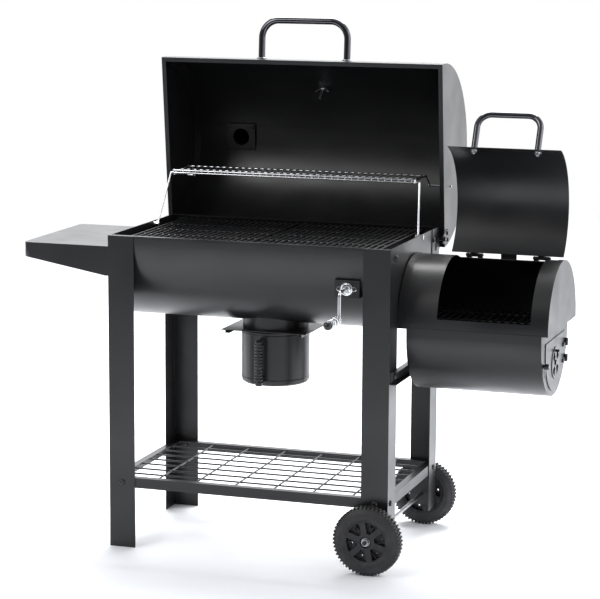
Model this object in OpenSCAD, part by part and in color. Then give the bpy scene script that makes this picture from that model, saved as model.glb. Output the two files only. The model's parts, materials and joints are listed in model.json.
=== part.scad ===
// Offset smoker: barrel charcoal grill with a side firebox, built as separate parts.
// Millimetres. X runs along the barrel, Y to the back, Z up. Rest pose has both lids open.

/* [Body] */
// Outside length of the barrel body over the legs
body_l = 736; // [500:1:1000]
// Outside depth of the body over the legs
body_d = 448; // [340:1:560]
// Height of the grate rim above the floor
body_h = 800; // [650:1:950]
// Sheet thickness of the body
sheet = 2; // [1:0.5:3]
// Width of the front and back leg flanges
leg_w = 69; // [40:1:90]
// Width of the side leg flanges
leg_s = 66; // [40:1:90]
// Height of the lower ends of the wheel-side legs
leg_gap = 60; // [30:1:80]

/* [Lids] */
// Opening angle of the main lid in the rest pose
lid_open = 83.9; // [0:0.1:95]
// Overhang of the main lid past the body all round
lid_over = 14; // [8:1:24]
// Opening angle of the firebox lid in the rest pose
fb_lid_open = 105; // [0:1:110]
// Height of the chimney above the lid
chimney_h = 170; // [100:5:300]

/* [Firebox] */
// Radius of the upper firebox half
fb_r = 160; // [120:1:200]
// Length of the upper firebox half
fb_l = 374; // [280:1:480]
// Radius of the lower firebox half
fb_low_r = 150; // [110:1:190]

/* [Running gear] */
// Wheel radius
wheel_r = 86; // [60:1:120]
// Wheel width
wheel_w = 45; // [25:1:60]
// Axle radius
axle_r = 5; // [4:0.5:8]

/* [Side table] */
// Length of the side table
table_l = 252; // [150:1:350]
// Height of the table top above the floor
table_h = 765; // [600:1:800]

/* [Hidden] */
$fn = 64;
fine = 256;                          // segments of the large round cuts
cy = body_d / 2;                     // middle of the depth
trough_r = body_d / 2 - sheet;
trough_z = body_h - 6;
lid_r = body_d / 2 + lid_over;
lid_z = body_h - 18;                 // closed rim plane
lid_x0 = -lid_over;
lid_x1 = body_l + lid_over;
hy = cy + 212.8;                     // main hinge line
hz = lid_z - 12.2;
fb_z = body_h - 199;                 // upper firebox centre
fb_low_z = fb_z - 25;
fb_x0 = body_l + 0.4;
fb_x1 = fb_x0 + fb_l + 0.6;
low_x0 = fb_x0 + 20;
low_x1 = fb_x1 - 18;
fy = cy + 88;                        // firebox lid hinge line
fz = fb_z + 151;
fl_x0 = fb_x0 + 71.6;
fl_x1 = fb_x1 - 17;
fl_xc = (fl_x0 + fl_x1) / 2;
crank_x = body_l - 112;
crank_z = body_h - 102;
can_x = body_l / 2;
axle_x = body_l - 40;
ax_y = cy + 72;                      // rack arm pivot
ax_z = body_h - 8;
arm_y = 60;                          // arm end relative to its pivot
arm_z = 130;
chim_x = 117;
chim_y = cy + 16;
chim_top = lid_z + lid_r + chimney_h;
crank_front = -151;                 // front of the crank knob
crank_arm_y = -50;                  // plane of the crank arm
crank_arm_l = 66;                   // shaft to grip
tray_z = 640;                       // underside of the lowered tray
tray_h = 28;
ymax = hy + (chim_y - hy + 36.5) * cos(lid_open) + (chim_top + 4 - hz) * sin(lid_open);
ox = (fb_x1 - table_l) / 2;
oy = (ymax + crank_front) / 2;

// ---- helpers ----

module cylx(x0, x1, y, z, r) {
  translate([x0, y, z]) rotate([0, 90, 0]) cylinder(r = r, h = x1 - x0);
}

module cyly(x, z, y0, y1, r) {
  translate([x, y0, z]) rotate([-90, 0, 0]) cylinder(r = r, h = y1 - y0);
}

module box(p, q) {
  translate(p) cube(q - p);
}

// Part of a tube about an X axis, angles from the front (-Y) upwards
module arc_x(x0, x1, y, z, r0, r1, a0, a1) {
  translate([x1, y, z]) rotate([90, 0, -90]) rotate([0, 0, a0])
    rotate_extrude(angle = a1 - a0) translate([r0, 0]) square([r1 - r0, x1 - x0]);
}

// A plate across X with its outline in Y and Z
module plate_x(x0, x1, pts) {
  translate([x0, 0, 0]) rotate([90, 0, 90]) linear_extrude(x1 - x0) polygon(pts);
}

module rod(p, q, r) {
  v = q - p;
  translate(p) rotate([0, acos(v[2] / norm(v)), atan2(v[1], v[0])])
    cylinder(r = r, h = norm(v));
}

// U shaped hollow tube handle standing on Z, spread along X
module u_handle(span, height, r, bend) {
  difference() {
    u_bar(span, height - r, r, bend);
    u_bar(span, height - r, r - 1.4, bend);
  }
}

module u_bar(span, h, r, bend) {
  for (s = [-1, 1]) translate([s * span / 2, 0, 0]) cylinder(r = r, h = h - bend);
  translate([span / 2 - bend, 0, h - bend]) rotate([90, 0, 0])
    rotate_extrude(angle = 90) translate([bend, 0]) circle(r);
  translate([bend - span / 2, 0, h - bend]) rotate([90, 0, 0]) rotate([0, 0, 90])
    rotate_extrude(angle = 90) translate([bend, 0]) circle(r);
  translate([bend - span / 2, 0, h]) rotate([0, 90, 0]) cylinder(r = r, h = span - 2 * bend);
}

// Button bolt along +Z, head below zero, nut above the grip
module bolt(grip) {
  translate([0, 0, -4]) cylinder(r1 = 5, r2 = 7.5, h = 2);
  translate([0, 0, -2]) cylinder(r = 7.5, h = 2);
  cylinder(r = 3.9, h = grip + 6);
  translate([0, 0, grip]) cylinder(r = 6.5, h = 5);
}

module on_lid() {
  translate([0, hy, hz]) rotate([-lid_open, 0, 0]) translate([0, -hy, -hz]) children();
}

module on_fb_lid() {
  translate([0, fy, fz]) rotate([-fb_lid_open, 0, 0]) translate([0, -fy, -fz]) children();
}

// Mirrors a left part to the right end of the body
module right_end() {
  translate([body_l, 0, 0]) mirror([1, 0, 0]) children();
}

module to_back() {
  translate([0, body_d, 0]) mirror([0, 1, 0]) children();
}

// ---- legs and frame ----

shelf_z = 169;
brace_z = 483;
top_l = 745;
top_r = 772;

module leg(z0, side_holes) {
  difference() {
    union() {
      box([0, 0, z0], [leg_w, sheet, body_h]);
      box([0, 0, z0], [sheet, leg_s, body_h]);
    }
    cyly(34, shelf_z, -1, 5, 4);
    for (h = side_holes) cylx(-1, 5, h[0], h[1], 4);
  }
}

module leg_right(side_holes) {
  difference() {
    right_end() leg(leg_gap, side_holes);
    cyly(axle_x, wheel_r, -1, 5, axle_r + 0.05);
  }
}

module leg_front_left() { color("#26272a") leg(0, [[54, top_l], [24, shelf_z]]); }
module leg_back_left() { color("#26272a") to_back() leg(0, [[54, top_l], [24, shelf_z]]); }

module leg_front_right() {
  color("#26272a") leg_right([[54, top_r], [24, shelf_z], [40, brace_z]]);
}

module leg_back_right() {
  color("#26272a") to_back() leg_right([[54, top_r], [24, shelf_z], [40, brace_z]]);
}

module end_panel(bolt_z) {
  difference() {
    union() {
      arc_x(sheet, 2 * sheet, cy, trough_z, 0.01, trough_r, -180, 0);
      box([sheet, sheet, trough_z], [2 * sheet, body_d - sheet, body_h]);
    }
    for (y = [54, body_d - 54]) cylx(0, 9, y, bolt_z, 4);
    cylx(0, 9, ax_y, ax_z, 4.02);
  }
}

module end_panel_left() { color("#2b2c2f") end_panel(top_l); }

module end_panel_right() {
  color("#2b2c2f") difference() {
    right_end() end_panel(top_r);
    cylx(body_l - 9, body_l, cy, fb_z + 79, 60);
  }
}

module trough() {
  color("#242528") difference() {
    union() {
      arc_x(2 * sheet, body_l - 2 * sheet, cy, trough_z, trough_r - sheet, trough_r, -180, 0);
      for (m = [0, 1]) translate([0, m * body_d, 0]) mirror([0, m, 0]) {
        box([2 * sheet, sheet, trough_z - 0.01], [body_l - 2 * sheet, 2 * sheet, body_h]);
        box([2 * sheet, sheet, body_h - sheet], [body_l - 2 * sheet, 14, body_h]);
        box([24, 2 * sheet - 0.3, body_h - 13], [body_l - 24, 20, body_h - 11]);
        box([24, 2 * sheet - 0.3, body_h - 21], [body_l - 24, 2 * sheet + 1.2, body_h - 11]);
      }
    }
    translate([can_x, cy, trough_z - trough_r - 5]) cylinder(r = 80, h = 60);
    cyly(crank_x, crank_z, 0, 60, axle_r + 0.08);
  }
}

module shelf_rail(l0, l1, f0, f1) {
  box([l0, sheet, shelf_z - 13], [l1, 2 * sheet, shelf_z + 13]);
  box([f0, 2 * sheet - 0.01, shelf_z + 11], [f1, 22, shelf_z + 13]);
}

module shelf_rail_x() {
  difference() {
    shelf_rail(sheet, body_l - sheet, 22, body_l - 22);
    for (x = [34, body_l - 34]) cyly(x, shelf_z, 0, 9, 4);
  }
}

module shelf_rail_y() {
  difference() {
    union() {
      box([sheet, 2 * sheet + 0.2, shelf_z - 13], [2 * sheet, body_d - 2 * sheet - 0.2,
        shelf_z + 13]);
      box([2 * sheet - 0.01, 2 * sheet + 0.2, shelf_z + 11],
        [21.8, body_d - 2 * sheet - 0.2, shelf_z + 13]);
    }
    for (y = [24, body_d - 24]) cylx(0, 9, y, shelf_z, 4);
  }
}

module shelf_rail_front() { color("#232427") shelf_rail_x(); }
module shelf_rail_back() { color("#232427") to_back() shelf_rail_x(); }
module shelf_rail_left() { color("#232427") shelf_rail_y(); }
module shelf_rail_right() { color("#232427") right_end() shelf_rail_y(); }

module shelf_wires() {
  r = 2.3;
  z = shelf_z + 11 - r - 0.05;       // just under the rails' flanges
  color("#1c1d1f") {
    for (i = [0:8]) {
      y = 14 + i * (body_d - 28) / 8;
      rod([8, y, z], [body_l - 8, y, z], r);
    }
    for (i = [0:7]) {
      x = i < 7 ? 18.5 + i * 103 : body_l - 19;
      rod([x, 8, z], [x, body_d - 8, z], r);
    }
  }
}

module firebox_brace() {
  color("#2b2c2f") difference() {
    union() {
      box([body_l, 12, brace_z - 16], [body_l + sheet, body_d - 12, brace_z + 16]);
      for (z = [brace_z - 16, brace_z + 14])
        box([body_l, 12, z], [body_l + 15, body_d - 12, z + sheet]);
    }
    for (y = [40, body_d - 40]) cylx(body_l - 5, body_l + 5, y, brace_z, 4);
  }
}

module frame_bolts() {
  color("#33353a") {
    for (x = [34, body_l - 34]) {
      translate([x, 0, shelf_z]) rotate([-90, 0, 0]) bolt(2 * sheet);
      translate([x, body_d, shelf_z]) rotate([90, 0, 0]) bolt(2 * sheet);
    }
    for (y = [24, body_d - 24]) {
      translate([0, y, shelf_z]) rotate([0, 90, 0]) bolt(2 * sheet);
      translate([body_l, y, shelf_z]) rotate([0, -90, 0]) bolt(2 * sheet);
    }
    for (y = [54, body_d - 54]) {
      translate([-sheet, y, top_l]) rotate([0, 90, 0]) bolt(3 * sheet);
      translate([body_l, y, top_r]) rotate([0, -90, 0]) bolt(2 * sheet);
    }
    for (y = [40, body_d - 40])
      translate([body_l + sheet, y, brace_z]) rotate([0, -90, 0]) bolt(2 * sheet);
  }
}

// ---- side table ----

module table_outline(inset) {
  r = 16 - inset;
  x0 = -table_l + inset;
  y0 = 42 + inset;
  y1 = body_d - 40 - inset;
  translate([x0, y0 + r]) square([table_l - 2 * inset, y1 - y0 - 2 * r]);
  translate([x0 + r, y0]) square([table_l - 2 * inset - r, y1 - y0]);
  for (y = [y0 + r, y1 - r]) translate([x0 + r, y]) circle(r);
}

module side_table() {
  color("#2b2c2f") difference() {
    translate([0, 0, table_h - 75]) linear_extrude(75) table_outline(0);
    translate([0, 0, table_h - 76]) linear_extrude(74) table_outline(sheet);
    translate([0, body_d, 0]) rotate([90, 0, 0]) linear_extrude(body_d)
      polygon([[-table_l - 5, table_h - 80], [-table_l - 5, table_h - 35],
        [-26, table_h - 75.2], [-26, table_h - 80]]);
    for (y = [54, body_d - 54]) cylx(-5, 5, y, top_l, 4);
  }
}

// ---- wheels ----

module axle() {
  color("#8c8f94") cyly(axle_x, wheel_r, -wheel_w - 20, body_d + wheel_w + 20, axle_r);
}

module axle_nuts() {
  color("#b5b8bc") for (m = [0, 1]) translate([0, m * body_d, 0]) mirror([0, m, 0])
    difference() {
      union() {
        cyly(axle_x, wheel_r, -11.6, -0.1, 9);
        cyly(axle_x, wheel_r, -wheel_w - 6.5, -wheel_w - 4.5, 13);
        translate([axle_x, -wheel_w - 14, wheel_r]) rotate([-90, 0, 0])
          cylinder(r = 9.8, h = 7.6, $fn = 6);
      }
      cyly(axle_x, wheel_r, -wheel_w - 40, 5, axle_r);
    }
}

// Wheel about Y, its outer face at y = 0 and its inner face at y = wheel_w
module wheel() {
  R = wheel_r;
  w = wheel_w;
  rotate([-90, 0, 0]) difference() {
    rotate([0, 0, 18.75]) rotate_extrude($fn = 96) polygon([[axle_r + 0.1, 8], [14, 8],
      [16, 3], [0.3 * R, 3], [0.32 * R, 5], [0.6 * R, 5], [0.64 * R, 1], [0.72 * R, 0], [0.86 * R, 3],
      [0.93 * R, 7], [0.99 * R, 9], [R, 12], [R, w - 12], [0.99 * R, w - 9],
      [0.93 * R, w - 7], [0.86 * R, w - 3], [0.72 * R, w], [0.64 * R, w - 1],
      [0.6 * R, w - 5], [0.32 * R, w - 5], [0.3 * R, w - 3], [16, w - 1],
      [14, w], [axle_r + 0.1, w]]);
    for (k = [0:5], s = [0, 1]) rotate([0, 0, k * 60 - 12]) translate([0, 0, s * (w - 15.5) - 1])
      linear_extrude(17.5) polygon([[0.25 * R, -0.05 * R], [0.25 * R, 0.05 * R],
        [0.54 * R, 0.22 * R], [0.575 * R, 0.1 * R], [0.585 * R, 0], [0.575 * R, -0.1 * R],
        [0.54 * R, -0.22 * R]]);
    for (k = [0:5]) rotate([0, 0, k * 60 - 12]) translate([0.46 * R, 0, -1])
      cylinder(r = 3.5, h = w + 2);
    for (k = [0:23]) rotate([0, 0, k * 15]) {
      translate([0.945 * R, -2.5, -1]) cube([10, 5, w / 2 - 3]);
      rotate([0, 0, 7.5]) translate([0.945 * R, -2.5, w / 2 + 4]) cube([10, 5, w / 2]);
    }
  }
}

module wheel_front() {
  color("#1b1b1c") translate([axle_x, -12 - wheel_w, wheel_r]) wheel();
}

module wheel_back() {
  color("#1b1b1c") to_back() translate([axle_x, -12 - wheel_w, wheel_r]) wheel();
}

// ---- grates, tray and crank ----

module cooking_grate(x0, n) {
  z = body_h - 8.5;
  p = 16.5;
  for (i = [0:n - 1]) rod([x0 + i * p, 9, z], [x0 + i * p, body_d - 9, z], 2.5);
  for (y = [26, 130, cy, body_d - 130, body_d - 26])
    rod([x0 - 2.5, y, z - 3], [x0 + (n - 1) * p + 2.5, y, z - 3], 2.5);
}

module cooking_grate_left() { color("#1a1a1b") cooking_grate(42, 20); }
module cooking_grate_right() { color("#1a1a1b") cooking_grate(380, 20); }

module tray_guides() {
  color("#2b2c2f") for (m = [0, 1]) translate([m * body_l, 0, 0]) mirror([m, 0, 0])
    for (y = [305, 324.4]) box([2 * sheet, y, 632], [14, y + 10.6, 742]);
}

module charcoal_tray() {
  x0 = 18;
  x1 = body_l - 18;
  z = tray_z;
  color("#2a2a2a") {
    difference() {
      box([x0, 100, z], [x1, 350, z + tray_h]);
      box([x0 + sheet, 100 + sheet, z + sheet], [x1 - sheet, 350 - sheet, z + 40]);
      for (i = [0:16], j = [0:2])
        box([x0 + 28 + i * 38, 130 + j * 70, z - 1], [x0 + 38 + i * 38, 180 + j * 70, z + 5]);
    }
  }
}

rack_pitch = 2 * PI;

// Toothed lifting rack and the tongues that run in the end guides
module tray_rack() {
  xp = crank_x + 12;
  color("#7d8085") {
    box([xp + 2.2, 88, crank_z - 61], [xp + 12, 100, crank_z + 17]);
    for (x = [8, body_l - 18]) box([x, 316, tray_z], [x + 10, 324, tray_z + tray_h]);
    for (k = [0:10]) translate([xp, 98, crank_z + 9.425 - k * rack_pitch])
      rotate([90, 0, 0]) linear_extrude(10)
        polygon([[2.3, -1.9], [-1.5, -0.6], [-1.5, 0.6], [2.3, 1.9]]);
  }
}

module crank_shaft() {
  color("#c4c6c8") {
    cyly(crank_x, crank_z, crank_arm_y + 10, 98, axle_r);
    translate([crank_x, 88.5, crank_z]) rotate([-90, 0, 0]) {
      cylinder(r = 9.8, h = 9);
      for (k = [0:11]) rotate([0, 0, k * 30]) linear_extrude(9)
        polygon([[9, -1.9], [13.3, -0.6], [13.3, 0.6], [9, 1.9]]);
    }
  }
}

module crank_bracket() {
  color("#1e1f21") difference() {
    box([crank_x - 31, 8, crank_z - 22], [crank_x + 32, 60, crank_z + 21]);
    box([crank_x - 29, 10.5, crank_z - 20], [crank_x + 30, 61, crank_z + 19]);
    cylx(crank_x - 50, crank_x + 50, cy, trough_z, trough_r, $fn = fine);
    cyly(crank_x, crank_z, 0, 60, axle_r + 0.08);
  }
}

module crank_flange() {
  color("#c4c6c8") difference() {
    union() {
      cyly(crank_x, crank_z, 0, 8, 11);
      cyly(crank_x, crank_z, 5, 8, 17);
      box([crank_x - 20, 5, crank_z - 6], [crank_x + 20, 8, crank_z + 6]);
      for (s = [-20, 20]) {
        cyly(crank_x + s, crank_z, 5, 8, 6);
        cyly(crank_x + s, crank_z, 2, 5.1, 4);
      }
    }
    cyly(crank_x, crank_z, -5, 60, axle_r + 0.08);
  }
}

// Bent round rod: an elbow down from the shaft, an elbow forward to the grip's pin
module crank_arm() {
  r = 4.6;
  bend = 10;
  z1 = crank_z - crank_arm_l;
  color("#c4c6c8") {
    translate([crank_x, crank_arm_y + bend, crank_z - bend]) rotate([90, 0, -90])
      rotate_extrude(angle = 90) translate([bend, 0]) circle(r);
    translate([crank_x, crank_arm_y, z1 + bend]) cylinder(r = r, h = crank_arm_l - 2 * bend);
    translate([crank_x, crank_arm_y - bend, z1 + bend]) rotate([90, 0, -90])
      rotate([0, 0, 180]) rotate_extrude(angle = 90) translate([bend, 0]) circle(r);
    cyly(crank_x, z1, crank_front + 8, crank_arm_y - bend, 3);
  }
}

module crank_grip() {
  color("#18181a") translate([crank_x, crank_front, crank_z - crank_arm_l]) rotate([-90, 0, 0])
    difference() {
      rotate_extrude() union() {
        polygon([[0, 0], [5, 0.4], [9, 2.5], [11, 7], [11, 11], [9, 15], [7.6, 17],
          [7.6, 88], [0, 88]]);
        for (i = [0:9]) translate([7.4, 21 + i * 6.9]) circle(2, $fn = 24);
      }
      translate([0, 0, 7.8]) cylinder(r = 3.08, h = 90);
    }
}

// ---- ash can ----

can_z = 552;

module ash_collar() {
  color("#222326") {
    difference() {
      union() {
        translate([can_x, cy, can_z + 2]) cylinder(r = 84, h = 40);
        box([can_x - 113, cy - 98, can_z + 2], [can_x + 113, cy + 102, can_z + 4]);
      }
      translate([can_x, cy, can_z]) cylinder(r = 82, h = 60);
      cylx(can_x - 99, can_x + 99, cy, trough_z, trough_r, $fn = fine);
    }
    for (s = [0, 1]) translate([can_x, 0, 0]) mirror([s, 0, 0]) {
      box([99.5, cy - 98, can_z - 5], [102, cy + 102, can_z + 2.01]);
      box([91, cy - 98, can_z - 5], [102, cy + 102, can_z - 3]);
    }
    box([can_x - 101, cy + 99.5, can_z - 5], [can_x + 101, cy + 102, can_z + 2.01]);
  }
}

module ash_can() {
  color("#1f2023") translate([can_x, cy, 0]) rotate_extrude($fn = 96) polygon([
    [0, can_z - 140], [76, can_z - 140], [82, can_z - 138], [86, can_z - 134],
    [87, can_z - 128], [87, can_z - 2.6], [98, can_z - 2.6], [98, can_z - 0.8],
    [85.4, can_z - 0.8], [85.4, can_z - 127], [84, can_z - 133], [80, can_z - 136.5],
    [75, can_z - 138], [0, can_z - 138]]);
}

module ash_can_handle() {
  x = can_x - 6;
  y = cy - 114;
  color("#18181a") {
    translate([x, y, can_z - 132]) rotate_extrude() union() {
      square([8.5, 112]);
      for (i = [0:12]) translate([8.2, 8 + i * 8]) circle(3, $fn = 24);
    }
    difference() {
      for (z = [can_z - 118, can_z - 22]) box([x - 8, y, z - 4], [x + 8, cy - 80, z + 4]);
      translate([can_x, cy, 300]) cylinder(r = 87, h = 300, $fn = 96);
    }
  }
}

// ---- main lid, drawn closed and swung open ----

module lid_shell() {
  color("#26272a") on_lid() difference() {
    union() {
      arc_x(lid_x0 + sheet, lid_x1 - sheet, cy, lid_z, lid_r - sheet, lid_r, 0, 180);
      box([lid_x0 + sheet, cy - lid_r + 1, lid_z], [lid_x1 - sheet, -2.6, lid_z + sheet]);
      box([lid_x0 + sheet, body_d + 2.6, lid_z], [lid_x1 - sheet, cy + lid_r - 1,
        lid_z + sheet]);
    }
    translate([chim_x, chim_y, lid_z + 100]) cylinder(r = 28, h = 200);
    translate([body_l / 2, cy, lid_z]) rotate([34.7, 0, 0]) cylinder(r = 3.3, h = 300);
    for (s = [-1, 1]) translate([body_l / 2 + s * 116.5, cy, lid_z]) rotate([80.3, 0, 0])
      cylinder(r = 3.2, h = 300);
  }
}

module lid_end() {
  difference() {
    union() {
      arc_x(lid_x0, lid_x0 + sheet, cy, lid_z, 0.01, lid_r, 0, 180);
      box([lid_x0 + 1, -2.5, lid_z], [-2.6, body_d + 2.5, lid_z + sheet]);
      translate([lid_x0 + sheet - 0.01, cy, lid_z]) rotate([90, 0, 90]) rotate([0, 0, 0.8])
        rotate_extrude(angle = 178.4) polygon([[lid_r - 24, 0], [lid_r - sheet - 0.02, 0],
          [lid_r - sheet - 0.02, 9]]);
    }
    on_p() cylx(-40, 40, 0, 0, 3.08);
    for (y = [hy - 9, hy + 9]) cylx(-40, 40, y, lid_z + 18, 3);
  }
}

// Rear rack pivot seen from the closed lid
module on_p() {
  a = lid_open;
  translate([0, hy + arm_y * cos(a) - arm_z * sin(a), hz + arm_y * sin(a) + arm_z * cos(a)])
    children();
}

module lid_end_left() { color("#2b2c2f") on_lid() lid_end(); }
module lid_end_right() { color("#2b2c2f") on_lid() right_end() lid_end(); }

module lid_handle() {
  color("#3a3c40") on_lid() translate([body_l / 2, cy, lid_z]) rotate([80.3, 0, 0])
    translate([0, 0, lid_r + 3]) u_handle(233, 106, 9, 46);
}

module lid_washers() {
  color("#b5b8bc") on_lid() translate([body_l / 2, cy, lid_z]) rotate([80.3, 0, 0])
    for (s = [-1, 1]) translate([s * 116.5, 0, lid_r]) {
      translate([0, 0, 0.05]) cylinder(r = 13, h = 2.95);
      translate([0, 0, -14]) cylinder(r = 3.1, h = 16);
      translate([0, 0, -9]) cylinder(r = 6, h = 6.8);
    }
}

module lid_hinge_lugs() {
  color("#33353a") on_lid() for (m = [0, 1]) translate([m * body_l, 0, 0]) mirror([m, 0, 0])
    difference() {
      union() {
        plate_x(lid_x0 - 3, lid_x0, [[hy - 17, lid_z + 30], [hy + 16, lid_z + 30],
          [hy + 16, lid_z], [hy + 10.4, hz - 6], [hy - 10.4, hz - 6], [hy - 17, lid_z]]);
        cylx(lid_x0 - 3, lid_x0, hy, hz, 12);
        for (y = [hy - 9, hy + 9]) {
          cylx(lid_x0 - 6, lid_x0 - 3, y, lid_z + 18, 5.5);
          cylx(lid_x0 - 4, lid_x0 + 8, y, lid_z + 18, 2.9);
        }
      }
      cylx(lid_x0 - 9, lid_x0 + 9, hy, hz, 4.08);
    }
}

module lid_hinge_plates() {
  color("#33353a") for (m = [0, 1]) translate([m * body_l, 0, 0]) mirror([m, 0, 0]) {
    box([-sheet, hy - 22, hz - 28], [0, hy + 8, hz + 8]);
    cylx(lid_x0 - 5, -1, hy, hz, 4);
    cylx(lid_x0 - 7, lid_x0 - 3.5, hy, hz, 6.5);
  }
}

module thermometer() {
  color("#c4c6c8") on_lid() translate([body_l / 2, cy, lid_z]) rotate([34.7, 0, 0])
    translate([0, 0, lid_r]) {
      translate([0, 0, 3]) cylinder(r = 26, h = 12);
      translate([0, 0, 0.02]) cylinder(r = 9, h = 3.5);
      translate([0, 0, -42]) cylinder(r = 3, h = 46);
      difference() {
        translate([0, 0, -9]) cylinder(r = 7, h = 6);
        translate([0, 0, -9.5]) cylinder(r = 3, h = 7);
      }
      for (s = [-1, 1]) translate([s * 12 - 2, -1.5, -16]) cube([4, 3, 10]);
      translate([-13, -1.5, -9]) cube([26, 3, 4]);
    }
}

module chimney() {
  color("#26272a") on_lid() {
    difference() {
      translate([chim_x, chim_y, lid_z + lid_r - 12]) cylinder(r = 30, h = chimney_h + 12);
      translate([chim_x, chim_y, lid_z + lid_r - 13]) cylinder(r = 26, h = chimney_h + 14);
      cylx(chim_x - 50, chim_x + 50, cy, lid_z, lid_r, $fn = fine);
    }
    translate([0, 0, lid_z + 228]) difference() {
      box([chim_x - 40, chim_y - 36, 0], [chim_x + 40, chim_y + 36, 2]);
      translate([chim_x, chim_y, -1]) cylinder(r = 23, h = 9);
      for (x = [-32, 32], y = [-28, 28])
        translate([chim_x + x, chim_y + y, -1]) cylinder(r = 3, h = 9);
    }
    difference() {
      translate([chim_x, chim_y, lid_z + 229.5]) cylinder(r = 27.9, h = 14);
      translate([chim_x, chim_y, lid_z + 229]) cylinder(r = 25, h = 16);
    }
    difference() {
      box([chim_x - 6, chim_y + 26, chim_top - 20], [chim_x + 6, chim_y + 40, chim_top]);
      translate([chim_x, chim_y, chim_top - 40]) cylinder(r = 28, h = 60);
    }
    translate([chim_x, chim_y + 34, chim_top - 10]) cylinder(r = 2.5, h = 14);
  }
}

module chimney_cap() {
  color("#26272a") on_lid() translate([chim_x, chim_y, chim_top + 0.4]) difference() {
    union() {
      cylinder(r = 33, h = 2);
      translate([0, 34, 0]) cylinder(r = 7, h = 2);
    }
    translate([0, 34, -1]) cylinder(r = 2.58, h = 5);
  }
}

// ---- warming rack ----

by = ax_y + arm_y;
bz = ax_z + arm_z;
py = hy + arm_y;
pz = hz + arm_z;
rz = bz + 6.5;

module warming_rack() {
  x0 = 40;
  x1 = body_l - 40;
  y0 = by - 6;
  y1 = by + 99;
  color("#c4c6c8") {
    for (y = [y0, by + 22, y1]) rod([x0, y, rz], [x1, y, rz], 2.2);
    rod([x0, by - 10, rz - 6], [x1, by - 10, rz - 6], 1.9);
    for (i = [0:36]) {
      x = x0 + 8 + i * 17.78;
      rod([x, y0 - 1, rz + 2], [x, y1 + 1, rz + 2], 1.5);
      rod([x, y0, rz], [x, by - 10, rz - 6], 1.3);
    }
    for (m = [0, 1]) translate([m * body_l, 0, 0]) mirror([m, 0, 0]) {
      rod([x0, y0, rz], [x0, y1, rz], 2.6);
      rod([x0, y1, rz], [x0, py, pz], 2.4);
      rod([x0, y0, rz], [x0, by - 10, rz - 6], 2);
      for (p = [[y0, rz], [y1, rz]]) translate([x0, p[0], p[1]]) sphere(3);
      translate([x0, by - 10, rz - 6]) sphere(2.5);
      rod([lid_x0 - 4, py, pz], [x0 + 4, py, pz], 3);
      translate([x0 - 2, by, bz]) rotate([0, 90, 0]) difference() {
        cylinder(r = 6.2, h = 4);
        translate([0, 0, -1]) cylinder(r = 3.5, h = 6);
      }
    }
  }
}

module rack_arms() {
  color("#c4c6c8") for (m = [0, 1]) translate([m * body_l, 0, 0]) mirror([m, 0, 0]) {
    difference() {
      union() {
        cylx(13, 18, ax_y, ax_z, 7.5);
        rod([15.5, ax_y + 2.9, ax_z + 6], [30, by, bz], 2.4);
      }
      cylx(10, 22, ax_y, ax_z, 4.08);
    }
    rod([30, by, bz], [46, by, bz], 2.5);
    translate([30, by, bz]) sphere(2.5, $fn = 32);
  }
}

module arm_pivots() {
  color("#b5b8bc") for (m = [0, 1]) translate([m * body_l, 0, 0]) mirror([m, 0, 0]) {
    cylx(sheet - 0.01, 20, ax_y, ax_z, 4);
    cylx(18.4, 20.4, ax_y, ax_z, 6.5);
    cylx(4, 12.5, ax_y, ax_z, 6);
    cylx(0.5, sheet, ax_y, ax_z, 6.5);
  }
}

// ---- firebox ----

module firebox_shell() {
  color("#26272a") difference() {
    arc_x(fb_x0 + sheet, fb_x1 - sheet, cy, fb_z, fb_r - 1.6, fb_r, 0, 180);
    arc_x(fl_x0 + 27, fl_x1 - 27, cy, fb_z, fb_r - 9, fb_r + 9, 9, 112);
  }
}

module fb_end() {
  arc_x(0, sheet, cy, fb_z, 0.01, fb_r + 1.6, 0, 180);
  arc_x(sheet - 0.01, 15, cy, fb_z, fb_r, fb_r + 1.6, 0, 180);
}

module firebox_ends() {
  color("#323438") {
    difference() {
      translate([fb_x0, 0, 0]) fb_end();
      cylx(fb_x0 - 5, fb_x0 + 9, cy, fb_z + 79, 60);
    }
    translate([fb_x1, 0, 0]) mirror([1, 0, 0]) fb_end();
  }
}

module firebox_throat() {
  z = fb_z + 79;
  color("#2b2c2f") difference() {
    union() {
      cylx(body_l - 8, fb_x0 + 8, cy, z, 59.9);
      cylx(body_l - 2 * sheet - 2, body_l - 2 * sheet, cy, z, 66);
      cylx(fb_x0 + sheet, fb_x0 + 2 * sheet, cy, z, 66);
    }
    cylx(body_l - 9, fb_x0 + 9, cy, z, 58);
  }
}

module firebox_lower_shell() {
  w = cy - fb_low_r;
  color("#26272a") {
    arc_x(low_x0 + sheet, low_x1 - sheet, cy, fb_low_z, fb_low_r - 1.6, fb_low_r, -180, 0);
    for (m = [0, 1]) translate([0, m * body_d, 0]) mirror([0, m, 0])
      box([low_x0 + sheet, w, fb_low_z - 0.01], [low_x1 - sheet, w + 1.6, fb_z]);
    difference() {
      box([fb_x0, cy - fb_r - 1.6, fb_z - 2], [fb_x1, cy + fb_r + 1.6, fb_z]);
      box([low_x0 + sheet, w + 1.6, fb_z - 9], [low_x1 - sheet, body_d - w - 1.6, fb_z + 9]);
    }
  }
}

module low_end(x) {
  arc_x(x, x + sheet, cy, fb_low_z, 0.01, fb_low_r, -180, 0);
  box([x, cy - fb_low_r, fb_low_z - 0.01], [x + sheet, cy + fb_low_r, fb_z - 2]);
}

door_y = cy + 2;
door_z = fb_z - 54;
door_r = 108;
door_x = low_x1 + 0.4;

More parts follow.
